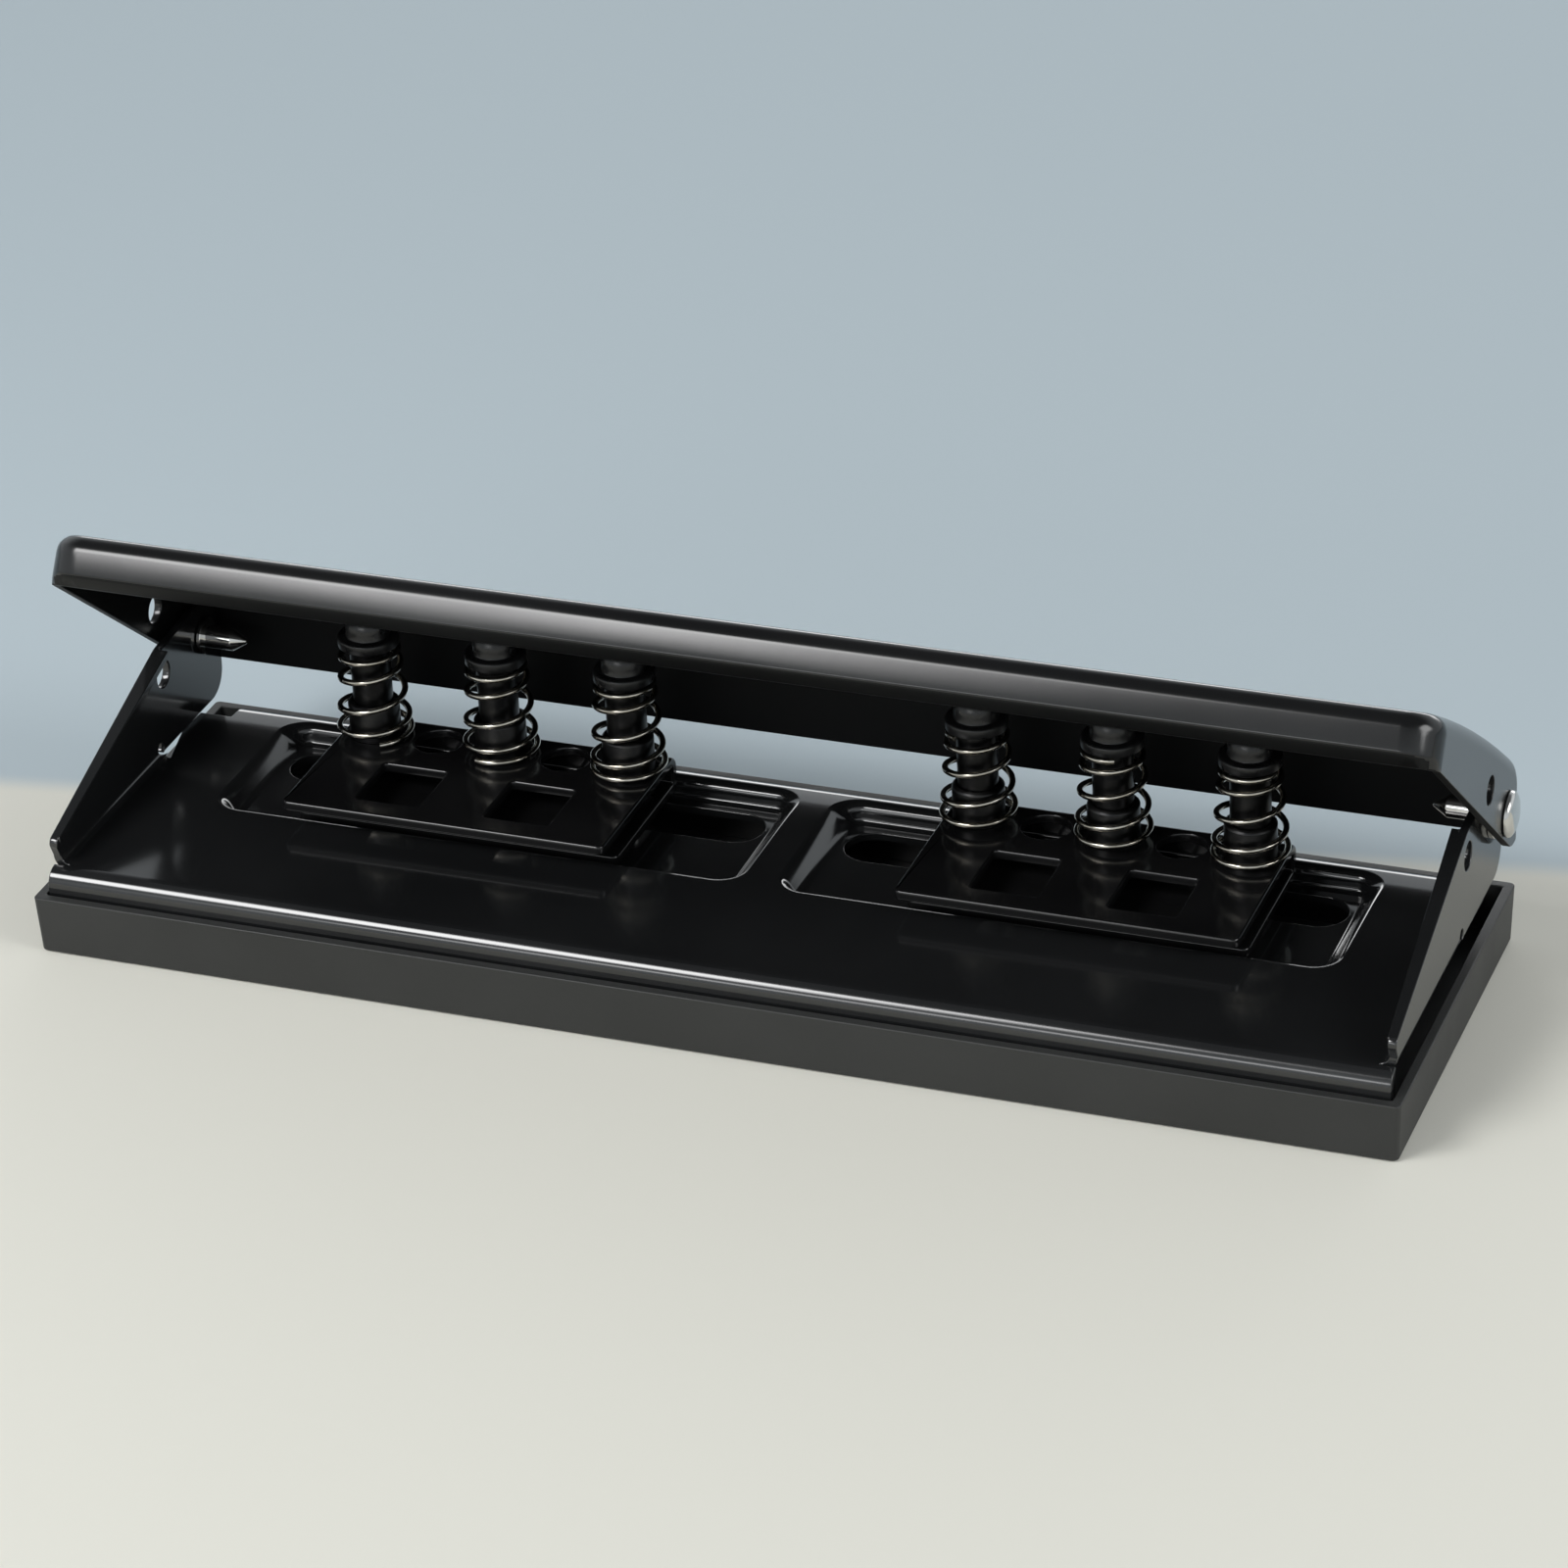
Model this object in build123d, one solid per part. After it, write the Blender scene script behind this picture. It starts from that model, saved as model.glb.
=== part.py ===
from build123d import *
import math
import os

# Adjustable six-hole desk punch, in millimetres.
# X runs along its length, Y to the rear, Z up; the origin is the centre of the tray's underside.

# Hole layout
hole_spacing = 19.05
group_gap = 50.8
row_back = 15.25

# Chip tray
tray_depth = 59.5
tray_height = 8.3
tray_wall = 1.4
tray_floor = 1.4
tray_corner = 0.8
tray_fit = 0.3
seat_gap = 0.05

# Base plate
base_sheet = 1.2
base_bend = 2.4
plate_top = 11.7
plate_back = 10.5
end_margin = 14.0
skirt_overhang = 1.0
rear_notch_x = 3.0
rear_notch_y = 2.2

# Recesses and slots in the base plate
recess_depth = 3.0
recess_front = 18.1
recess_back = 6.4
recess_corner = 2.8
recess_root = 0.8
corner_play = 0.3
rim_round = 1.6
slot_width = 8.0
slot_margin = 0.85
travel_out = 9.75
travel_in = 15.75

# Ears of the base plate
ear_nose_y = 1.5
ear_nose_z = 3.8
ear_nose_round = 1.0
ear_bend_front = 2.7
ear_bend_rear = 8.0
ear_slit = 0.35
ear_relief = 0.9
ear_shoulder = 13.1
ear_shoulder_round = 6.0
ear_crest = 1.5
ear_radius = 5.0
ear_foot_round = 4.0
ear_air = 1.5
ear_lip_low = 0.2
ear_lip_high = 1.1

# Handle and its pivot
lever_arm = 7.9
pivot_height = 22.9
handle_sheet = 1.2
handle_tilt = 34.5
handle_close = 40.0
handle_rise = 8.3
handle_reach = 48.4
handle_back = 7.0
handle_foot = 16.4
crown_r = 350.0
crown_t = 20.0
lip_level = 0.3
lip_land = 4.5
flange_slope = 39.5
flange_tip_round = 4.0
handle_front_corner = 5.0
handle_rear_bend = 6.0
handle_edge_round = 2.5
lock_radius = 13.0
lock_angle = 138.4
lock_hole = 2.0

# Pivot pins, washers and clips
pivot_r = 1.6
pivot_play = 0.05
pivot_inset = 6.9
pivot_point = 2.0
pivot_tip_r = 0.4
rivet_head_r = 3.2
rivet_head_h = 1.3
rivet_head_round = 1.0
washer_r = 3.5
washer_thick = 0.75
clip_r = 2.7
clip_thick = 0.6
clip_mouth = 2.4
clip_gap = 0.1

# Punch units
bracket_sheet = 1.5
bracket_bend = 1.9
bracket_inner_bend = 0.4
bracket_front = 22.1
bracket_back = 5.7
bracket_corner = 1.0
end_land = 4.7
throat = 2.6
die_arm_setback = 0.8
die_thick = 1.4
die_front = 7.0
die_back = 5.2
die_inset = 1.2
slide_play = 0.1
access_r = 3.4
window_width = 9.4
window_front = 18.4
window_rear = 8.0

# Clamp screws and slide nuts
screw_r = 1.5
screw_head_r = 2.8
screw_head_h = 1.3
screw_sink = 0.1
drive_width = 0.7
drive_depth = 0.6
nut_shoulder_play = 0.15
nut_flange_r = 5.5
nut_flange_h = 1.4

# Punch pins, bushes, caps and springs
pin_r = 2.8
pin_play = 0.05
pin_tuck = 0.2
pin_hollow_r = 4.0
pin_hollow = 0.8
pin_travel = 7.0
spigot_r = 1.8
spigot_length = 2.7
die_relief = 0.3
bush_r = 3.6
bush_spigot_r = 3.3
bush_chamfer = 0.5
stop_gap = 1.55
cap_r = 4.3
cap_thick = 1.5
cap_edge = 0.4
button_r = 3.1
button_round = 2.6
cap_height = 5.1
press_gap = 0.8
spring_air = 0.08
wire_d = 0.9
coil_low_r = 5.05
coil_high_r = 3.95
coil_turns = 4.5
coil_closing = 0.6
coil_stagger = 50.0

# Places that follow from the sizes above
sheet_bend_in = base_bend - base_sheet
row_y = tray_depth / 2 - row_back
unit_x = group_gap / 2 + hole_spacing
unit_half = hole_spacing + end_land
front_y = -(tray_depth / 2 - tray_wall - tray_fit)
rear_y = row_y + plate_back
corner_air = min(die_arm_setback, recess_back - bracket_back)
corner_reach = recess_corner - math.sqrt(recess_corner ** 2 - (recess_corner - corner_air) ** 2)
recess_in_x = unit_x - unit_half - travel_in - corner_reach - corner_play
recess_out_x = unit_x + unit_half + travel_out + corner_reach + corner_play
recess_front_y = row_y - recess_front
recess_rear_y = row_y + recess_back
floor_top = plate_top - recess_depth
floor_low = floor_top - base_sheet
slot_in_x = group_gap / 2 - travel_in - pin_r - slot_margin
slot_out_x = group_gap / 2 + 2 * hole_spacing + travel_out + pin_r + slot_margin
ear_in_x = recess_out_x + end_margin
ear_out_x = ear_in_x + base_sheet
ear_front_y = front_y + ear_bend_front
ear_step_y = row_y - ear_bend_rear
flat_half = ear_in_x - sheet_bend_in
skirt_half = ear_in_x + skirt_overhang
tray_length = 2 * (skirt_half + tray_fit + tray_wall)
bend_z = plate_top + sheet_bend_in
die_low = floor_top + slide_play
die_top = die_low + die_thick
arm_low = die_top + bracket_sheet
guide_low = arm_low + throat
guide_top = guide_low + bracket_sheet
pivot_y = row_y + lever_arm
handle_rear_y = pivot_y + handle_back
handle_half = ear_out_x + washer_thick + pivot_play + handle_sheet
tilt = math.radians(handle_tilt)
closed = math.radians(handle_tilt - handle_close)


def block(x, y, z):
    size = (x[1] - x[0], y[1] - y[0], z[1] - z[0])
    return Pos(x[0], y[0], z[0]) * Box(*size, align=Align.MIN)


def rod_z(x, y, r, z0, z1):
    align = (Align.CENTER, Align.CENTER, Align.MIN)
    return Pos(x, y, z0) * Cylinder(r, z1 - z0, align=align)


def rod_x(y, z, r, x0, x1):
    align = (Align.CENTER, Align.CENTER, Align.MIN)
    return Pos(x0, y, z) * Rot(0, 90, 0) * Cylinder(r, x1 - x0, align=align)


def rod_y(x, z, r, y0, y1):
    align = (Align.CENTER, Align.CENTER, Align.MIN)
    return Pos(x, y0, z) * Rot(-90, 0, 0) * Cylinder(r, y1 - y0, align=align)


def side_prism(outline, x0, x1):
    # An outline in Y and Z, run along X.
    return Pos(x0, 0, 0) * extrude(Plane.YZ * make_face(outline), x1 - x0)


def handle_point(t, n, angle):
    # A point t along the handle towards its lip and n above the pivot, square to it.
    y = pivot_y - t * math.cos(angle) + n * math.sin(angle)
    z = pivot_height + t * math.sin(angle) + n * math.cos(angle)
    return (y, z)


def top_height(y, angle, depth):
    # Height of the handle's crowned top over y at one tilt, a depth below its outer side.
    centre = handle_point(crown_t, handle_rise - crown_r, angle)
    return centre[1] + math.sqrt((crown_r - depth) ** 2 - (y - centre[0]) ** 2)


# Heights of a punch unit's top, which follow from the underside of the open handle
cap_rear_y = row_y + button_r - button_round
cap_top = top_height(cap_rear_y, tilt, handle_sheet + press_gap + button_round) + button_round
cap_low = cap_top - cap_height
spring_length = cap_low - guide_top
bush_top = cap_low - pin_travel - stop_gap


def folded_sheet(half, inset):
    # The solid form of a downward channel across the depth, with its two top edges rolled.
    y = (front_y + inset, rear_y - inset)
    body = block((-half, half), y, (tray_floor + seat_gap, plate_top - inset))
    rolled = body.edges().filter_by(Axis.X).group_by(Axis.Z)[-1]
    return fillet(rolled, base_bend - inset)


def channel(half):
    return folded_sheet(half, 0) - folded_sheet(half, base_sheet)


def pocket(x, inset, z):
    # A round-cornered block for one recess, grown or shrunk by inset.
    y = (recess_front_y - inset, recess_rear_y + inset)
    body = block((x[0] - inset, x[1] + inset), y, z)
    body = fillet(body.edges().filter_by(Axis.Z), recess_corner + inset)
    return fillet(body.faces().sort_by(Axis.Z)[0].edges(), recess_root + inset)


def slot(x):
    # One round-ended slot along the pin row, through a recess floor.
    middle = (x[0] + x[1]) / 2
    outline = SlotOverall(x[1] - x[0], slot_width)
    return Pos(middle, row_y, floor_low - recess_depth) * extrude(outline, 2 * recess_depth)


def on_rim(edge):
    place = edge.center()
    across = recess_in_x - rim_round < abs(place.X) < recess_out_x + rim_round
    along = recess_front_y - rim_round < place.Y < recess_rear_y + rim_round
    return across and along and math.isclose(place.Z, plate_top)


def lock_bore(turn, x0, x1):
    # A lock hole, turned about the pivot from where it lies in the open handle.
    angle = math.radians(lock_angle + turn)
    y = pivot_y + lock_radius * math.cos(angle)
    z = pivot_height + lock_radius * math.sin(angle)
    return rod_x(y, z, lock_hole, x0, x1)


def under_closed(y):
    # Height of an ear's top over y, clear of the closed handle.
    return top_height(y, closed, handle_sheet + ear_air)


def ear_sheet(nose, shoulder):
    crest_y = pivot_y - ear_crest
    crest_z = under_closed(crest_y)
    rear = pivot_y + ear_radius
    foot = plate_top + ear_slit
    points = [(ear_front_y, bend_z), nose, shoulder, (crest_y, crest_z), (rear, crest_z)]
    points += [(rear, foot), (ear_step_y, foot), (ear_step_y, bend_z)]
    radii = [0, ear_nose_round, ear_shoulder_round, 0, ear_radius, ear_foot_round, 0, 0]
    outline = FilletPolyline(*points, radius=radii, close=True)
    return side_prism(outline, ear_in_x, ear_out_x)


def ear_lip(nose, shoulder):
    # The narrow inward lip of an ear's front edge, wider towards its top.
    rise = math.atan2(shoulder[1] - nose[1], shoulder[0] - nose[0])
    along = Vector(0, math.cos(rise), math.sin(rise))
    outward = Vector(0, -math.sin(rise), math.cos(rise))
    start = Vector(ear_in_x, *nose) + along * ear_nose_round
    length = math.dist(nose, shoulder)
    taper = Polyline((0, 0), (length, 0), (length, ear_lip_high), (0, ear_lip_low), close=True)
    lip = extrude(Plane(origin=start, x_dir=along, z_dir=outward) * make_face(taper), -base_sheet)
    return lip & block((0, ear_in_x), (nose[0], shoulder[0]), (plate_top, shoulder[1]))


def ear():
    # The upturned right end: its bend, its upright sheet and its lip, with a relief where the bend stops.
    nose = (front_y + ear_nose_y, plate_top + ear_nose_z)
    shoulder_y = pivot_y - ear_shoulder
    shoulder = (shoulder_y, under_closed(shoulder_y))
    run = (ear_front_y, ear_step_y)
    bend = rod_y(flat_half, bend_z, base_bend, *run) - rod_y(flat_half, bend_z, sheet_bend_in, *run)
    bend &= block((flat_half, ear_out_x), run, (plate_top - base_sheet, bend_z))
    body = ear_sheet(nose, shoulder) + bend + ear_lip(nose, shoulder)
    body -= rod_x(ear_step_y, bend_z, ear_relief, flat_half - ear_relief, ear_out_x)
    body -= rod_x(pivot_y, pivot_height, pivot_r, ear_in_x, ear_out_x)
    return body - lock_bore(handle_close, ear_in_x, ear_out_x)


def base_plate():
    body = channel(flat_half)
    front = block((-skirt_half, skirt_half), (front_y, front_y + base_bend), (0, plate_top))
    body += channel(skirt_half) & front
    for side in (-1, 1):
        corner = sorted((side * (flat_half - rear_notch_x), side * skirt_half))
        body -= block(corner, (rear_y - base_bend - rear_notch_y, rear_y), (0, plate_top))
        recess = sorted((side * recess_in_x, side * recess_out_x))
        body += pocket(recess, base_sheet, (floor_low, plate_top - base_sheet / 2))
    for side in (-1, 1):
        recess = sorted((side * recess_in_x, side * recess_out_x))
        body -= pocket(recess, 0, (floor_top, plate_top))
        body -= slot(sorted((side * slot_in_x, side * slot_out_x)))
    body = fillet(body.edges().filter_by(on_rim), rim_round)
    right = ear()
    return body + right + mirror(right, about=Plane.YZ)


def chip_tray():
    half = tray_length / 2
    depth = tray_depth / 2
    outer = block((-half, half), (-depth, depth), (0, tray_height))
    outer = fillet(outer.edges().filter_by(Axis.Z), tray_corner)
    inner_half = half - tray_wall
    inner_depth = depth - tray_wall
    inside = block((-inner_half, inner_half), (-inner_depth, inner_depth), (tray_floor, tray_height))
    return outer - inside


def pan(inset):
    # The handle's outer form, or its hollow: a crowned top with an open run downwards.
    reach = handle_reach - inset
    rear = handle_rear_y - inset
    half = handle_half - inset
    drop = crown_r - math.sqrt((crown_r - inset) ** 2 - (reach - crown_t) ** 2)
    brow = handle_point(reach, handle_rise - drop, tilt)
    crest = handle_point(crown_t, handle_rise - inset, tilt)
    heel = (rear, top_height(rear, tilt, inset))
    low_front = handle_point(reach, -handle_reach, tilt)
    outline = ThreePointArc(brow, crest, heel)
    outline += Polyline(heel, (rear, -handle_reach), low_front, brow)
    body = side_prism(outline, -half, half)
    bend = body.edges().filter_by(Axis.X).group_by(Axis.Y)[-1].sort_by(Axis.Z)[-1]
    body = fillet(bend, handle_rear_bend - inset)
    upright = Axis((0, 0, 0), (0, math.sin(tilt), math.cos(tilt)))
    body = fillet(body.edges().filter_by(upright), handle_front_corner - inset)
    rim = body.edges().filter_by(Axis.X).sort_by(Axis.Z)[-1]
    return fillet(rim, handle_edge_round - inset)


def handle():
    # A pressed pan trimmed along the lip, the slanted flange edges and the foot of its rear wall.
    far = 2 * handle_reach
    start = handle_point(handle_reach + far, lip_level, tilt)
    land = handle_point(handle_reach - lip_land, lip_level, tilt)
    tip = (land[0] + (land[1] - handle_foot) / math.tan(math.radians(flange_slope)), handle_foot)
    end = handle_rear_y + far
    points = [start, land, tip, (end, handle_foot), (end, -far), (start[0], -far)]
    outline = FilletPolyline(*points, radius=[0, 0, flange_tip_round, 0, 0, 0], close=True)
    body = pan(0) - pan(handle_sheet) - side_prism(outline, -2 * handle_half, 2 * handle_half)
    body -= rod_x(pivot_y, pivot_height, pivot_r + pivot_play, -handle_half, handle_half)
    return body - lock_bore(0, -handle_half, handle_half)


def pivot_pin():
    # Right-hand pin: domed head outside the flange, pointed end inside the ear.
    seat = handle_half + pivot_play
    head = rod_x(pivot_y, pivot_height, rivet_head_r, seat, seat + rivet_head_h)
    head = fillet(head.edges().sort_by(Axis.X)[-1], rivet_head_round)
    neck = ear_in_x - pivot_inset + pivot_point
    shaft = rod_x(pivot_y, pivot_height, pivot_r, neck, seat)
    align = (Align.CENTER, Align.CENTER, Align.MIN)
    point = Rot(0, -90, 0) * Cone(pivot_r, pivot_tip_r, pivot_point, align=align)
    return head + shaft + Pos(neck, pivot_y, pivot_height) * point


def pivot_washer():
    ring = rod_x(pivot_y, pivot_height, washer_r, ear_out_x, ear_out_x + washer_thick)
    return ring - rod_x(pivot_y, pivot_height, pivot_r, ear_out_x, ear_out_x + washer_thick)


def pivot_clip():
    # Snap ring on the pin, open at its lower side.
    run = (ear_in_x - clip_gap - clip_thick, ear_in_x - clip_gap)
    ring = rod_x(pivot_y, pivot_height, clip_r, *run) - rod_x(pivot_y, pivot_height, pivot_r, *run)
    mouth = (pivot_y - clip_mouth / 2, pivot_y + clip_mouth / 2)
    return ring - block(run, mouth, (pivot_height - clip_r, pivot_height))


def bracket():
    # One folded sheet: guide arm above, die arm below, the paper throat open to the front.
    rear = row_y + bracket_back
    front = row_y - bracket_front
    low_front = recess_front_y + die_arm_setback
    inner = rear - bracket_sheet
    points = [(front, guide_top), (rear, guide_top), (rear, die_top), (low_front, die_top)]
    points += [(low_front, arm_low), (inner, arm_low), (inner, guide_low), (front, guide_low)]
    radii = [0, bracket_bend, bracket_bend, 0, 0, bracket_inner_bend, bracket_inner_bend, 0]
    outline = FilletPolyline(*points, radius=radii, close=True)
    body = side_prism(outline, -unit_half, unit_half)
    body = fillet(body.edges().filter_by(Axis.Z).group_by(Axis.Y)[0], bracket_corner)
    for step in (-1, 0, 1):
        body -= rod_z(step * hole_spacing, row_y, bush_spigot_r, guide_low, guide_top)
        body -= rod_z(step * hole_spacing, row_y, pin_r + die_relief, die_top, arm_low)
    for side in (-1, 1):
        x = side * hole_spacing / 2
        body -= rod_z(x, row_y, access_r, guide_low, guide_top)
        wide = (x - window_width / 2, x + window_width / 2)
        body -= block(wide, (row_y - window_front, row_y - window_rear), (guide_low, guide_top))
        body -= rod_z(x, row_y, screw_r, die_top, arm_low) + screw_head(x)
    return body


def screw_head(x):
    # The countersunk head's space, open to the top of the die arm.
    align = (Align.CENTER, Align.CENTER, Align.MAX)
    top = arm_low - screw_sink
    cone = Pos(x, row_y, top) * Cone(screw_r, screw_head_r, screw_head_h, align=align)
    return cone + rod_z(x, row_y, screw_head_r, top, arm_low)


def clamp_screw(x):
    top = arm_low - screw_sink
    nut_low = floor_low - slide_play - nut_flange_h
    body = rod_z(x, row_y, screw_r, nut_low, top)
    body += screw_head(x) - rod_z(x, row_y, screw_head_r, top, arm_low)
    cut = (row_y - screw_head_r, row_y + screw_head_r)
    return body - block((x - drive_width / 2, x + drive_width / 2), cut, (top - drive_depth, top))


def slide_nut(x):
    # A shoulder in the slot and a flange under the recess floor.
    shoulder_r = slot_width / 2 - nut_shoulder_play
    seat = floor_low - slide_play
    low = seat - nut_flange_h
    body = rod_z(x, row_y, shoulder_r, seat, die_low) + rod_z(x, row_y, nut_flange_r, low, seat)
    return body - rod_z(x, row_y, screw_r, low, die_low)


def die_plate():
    half = unit_half - die_inset
    body = block((-half, half), (row_y - die_front, row_y + die_back), (die_low, die_top))
    body = fillet(body.edges().filter_by(Axis.Z), bracket_corner)
    for step in (-1, 0, 1):
        body -= rod_z(step * hole_spacing, row_y, pin_r + pin_play, die_low, die_top)
    for side in (-1, 1):
        body -= rod_z(side * hole_spacing / 2, row_y, screw_r, die_low, die_top)
    return body


def guide_bush(x):
    body = rod_z(x, row_y, bush_r, guide_top, bush_top)
    body = chamfer(body.edges().sort_by(Axis.Z)[-1], bush_chamfer)
    body += rod_z(x, row_y, bush_spigot_r, guide_low, guide_top)
    return body - rod_z(x, row_y, pin_r + pin_play, guide_low, bush_top)


def punch_pin(x):
    # Round punch with a hollow-ground cutting end and a spigot for its cap.
    tip = guide_low + pin_tuck
    body = rod_z(x, row_y, pin_r, tip, cap_low)
    body += rod_z(x, row_y, spigot_r, cap_low, cap_low + spigot_length)
    return body - rod_y(x, tip + pin_hollow - pin_hollow_r, pin_hollow_r, row_y - cap_r, row_y + cap_r)


def pin_cap(x):
    # Spring seat below, round button above; the button stops short of the open handle.
    button = rod_z(x, row_y, button_r, cap_low, cap_top)
    button = fillet(button.edges().sort_by(Axis.Z)[-1], button_round)
    seat = rod_z(x, row_y, cap_r, cap_low, cap_low + cap_thick)
    seat = fillet(seat.edges().sort_by(Axis.Z)[-1], cap_edge)
    return button + seat - rod_z(x, row_y, spigot_r, cap_low, cap_low + spigot_length)


def coil_point(turns):
    # A point on the spring's centre line: a cone whose end turns lie closer than its middle ones.
    share = turns / coil_turns
    low = guide_top + wire_d / 2 + spring_air
    rise = spring_length - wire_d - 2 * spring_air
    z = low + rise * (share - coil_closing * math.sin(2 * math.pi * share) / (2 * math.pi))
    r = coil_low_r + (coil_high_r - coil_low_r) * (z - low) / rise
    angle = 2 * math.pi * turns
    return Vector(r * math.cos(angle), r * math.sin(angle), z)


def coil_heading(turns):
    small = 1e-4
    return (coil_point(turns + small) - coil_point(turns - small)).normalized()


def biarc(turn0, turn1):
    # Two arcs, tangent to each other and to the coil at both ends of one stretch.
    start, end = coil_point(turn0), coil_point(turn1)
    lead, trail = coil_heading(turn0), coil_heading(turn1)
    span = end - start
    along = span.dot(lead + trail)
    bend = 2 * (1 - lead.dot(trail))
    reach = (math.sqrt(along ** 2 + bend * span.dot(span)) - along) / bend
    first, second = start + lead * reach, end - trail * reach
    middle = (first + second) * 0.5
    across = (second - first).normalized()
    return [Edge.make_tangent_arc(start, lead, middle), Edge.make_tangent_arc(middle, across, end)]


def return_spring():
    # One unbroken wire, wound in quarter turns, with a short straight run at each end.
    quarters = round(4 * coil_turns)
    lead, trail = coil_heading(0), coil_heading(coil_turns)
    start, end = coil_point(0), coil_point(coil_turns)
    edges = [Edge.make_line(start - lead * wire_d, start)]
    for quarter in range(quarters):
        edges += biarc(quarter / 4, (quarter + 1) / 4)
    edges += [Edge.make_line(end, end + trail * wire_d)]
    path = Wire(edges)
    section = Plane(origin=path @ 0, z_dir=lead) * Circle(wire_d / 2)
    body = sweep(section, path=path)
    print("spring volume ratio", round(body.volume / (math.pi * wire_d ** 2 / 4 * path.length), 4))
    print("least gap between spring turns", round(coil_gap(), 3))
    return body


def coil_gap():
    steps = 32
    points = [coil_point(i / steps) for i in range(int(coil_turns * steps) + 1)]
    later = [points[i + steps // 2:] for i in range(len(points))]
    gaps = [(far - near).length for near, rest in zip(points, later) for far in rest]
    return min(gaps) - wire_d


def save(shape, name):
    export_step(shape, "parts/" + name + ".step")


def save_pivots():
    pieces = {"pivot_pin": pivot_pin(), "pivot_washer": pivot_washer(), "pivot_clip": pivot_clip()}
    for name, piece in pieces.items():
        save(piece, "right_" + name)
        save(mirror(piece, about=Plane.YZ), "left_" + name)


def save_bracket(side, place):
    # The folded bracket in three parts: its two flat arms and the bend that joins them.
    whole = bracket()
    wide = (-unit_half, unit_half)
    front = row_y - bracket_front
    rear = row_y + bracket_back
    seam = rear - bracket_bend
    save(place * (whole & block(wide, (front, seam), (guide_low, guide_top))), side + "_guide_arm")
    save(place * (whole & block(wide, (front, seam), (die_top, arm_low))), side + "_die_arm")
    save(place * (whole & block(wide, (seam, rear), (die_top, guide_top))), side + "_bracket_back")


def save_unit(side, x, spring):
    # One sliding punch unit; its pins are numbered from left to right.
    place = Pos(x, 0, 0)
    save_bracket(side, place)
    save(place * die_plate(), side + "_die_plate")
    for number, offset in enumerate((-hole_spacing / 2, hole_spacing / 2), 1):
        save(place * clamp_screw(offset), f"{side}_clamp_screw_{number}")
        save(place * slide_nut(offset), f"{side}_slide_nut_{number}")
    for number, offset in enumerate((-hole_spacing, 0, hole_spacing), 1):
        save(place * guide_bush(offset), f"{side}_guide_bush_{number}")
        save(place * punch_pin(offset), f"{side}_punch_pin_{number}")
        save(place * pin_cap(offset), f"{side}_pin_cap_{number}")
        turned = Rot(0, 0, math.copysign(coil_stagger, x) * number) * spring
        save(Pos(x + offset, row_y, 0) * turned, f"{side}_return_spring_{number}")


os.makedirs("parts", exist_ok=True)
save(base_plate(), "base_plate")
save(chip_tray(), "chip_tray")
save(handle(), "handle")
save_pivots()
coil = return_spring()
save_unit("left", -unit_x, coil)
save_unit("right", unit_x, coil)
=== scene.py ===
import bpy
import math
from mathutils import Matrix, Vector


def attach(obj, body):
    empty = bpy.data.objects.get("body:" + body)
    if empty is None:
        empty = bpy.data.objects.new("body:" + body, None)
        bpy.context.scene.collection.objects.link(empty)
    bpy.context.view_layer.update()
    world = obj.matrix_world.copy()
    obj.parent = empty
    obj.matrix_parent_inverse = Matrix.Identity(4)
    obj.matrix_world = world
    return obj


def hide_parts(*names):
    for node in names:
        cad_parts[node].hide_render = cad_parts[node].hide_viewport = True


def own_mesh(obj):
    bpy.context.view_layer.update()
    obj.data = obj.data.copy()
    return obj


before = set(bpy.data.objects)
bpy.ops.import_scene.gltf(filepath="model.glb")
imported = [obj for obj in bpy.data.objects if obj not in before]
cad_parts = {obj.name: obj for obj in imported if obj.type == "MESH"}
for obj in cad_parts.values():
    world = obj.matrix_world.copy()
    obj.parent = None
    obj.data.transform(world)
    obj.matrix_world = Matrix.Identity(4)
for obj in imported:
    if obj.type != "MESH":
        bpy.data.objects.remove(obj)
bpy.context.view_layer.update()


# Chip tray: a shallow open box moulded in dark grey plastic with a fine matte grain.
# It is pressed on under the base plate, catches the paper chips and carries the punch.
mm = 0.001
near = 0.1  # how close two places are to count as one, in millimetres
facing = 0.9  # how squarely a face looks one way to count as facing it
sharp_angle = 35
tray_half = (95.9, 29.75)
tray_height = 8.3
tray_wall = 1.4
tray_corner = 0.8
tray_inner_corner = 0.5
tray_draft = 0.35
tray_edge = 0.2
tray_dark = (0.0170, 0.0178, 0.0174, 1)
tray_pale = (0.0240, 0.0248, 0.0240, 1)


def take(piece):
    # Leaves edit mode and selects one piece alone.
    if bpy.context.object is not None and bpy.context.object.mode != "OBJECT":
        bpy.ops.object.mode_set(mode="OBJECT")
    bpy.ops.object.select_all(action="DESELECT")
    if piece is not None:
        piece.select_set(True)
        bpy.context.view_layer.objects.active = piece


def settle(piece):
    # Puts the piece's place, turn and size into its mesh.
    take(piece)
    bpy.ops.object.transform_apply(location=True, rotation=True, scale=True)


def block(name, x, y, z):
    # A block between two limits on each axis, in millimetres, to be shaped further.
    take(None)
    middle = [(low + high) / 2 * mm for low, high in (x, y, z)]
    bpy.ops.mesh.primitive_cube_add(size=1, location=middle)
    piece = bpy.context.object
    piece.name = name
    piece.scale = [(high - low) * mm for low, high in (x, y, z)]
    settle(piece)
    return piece


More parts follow.
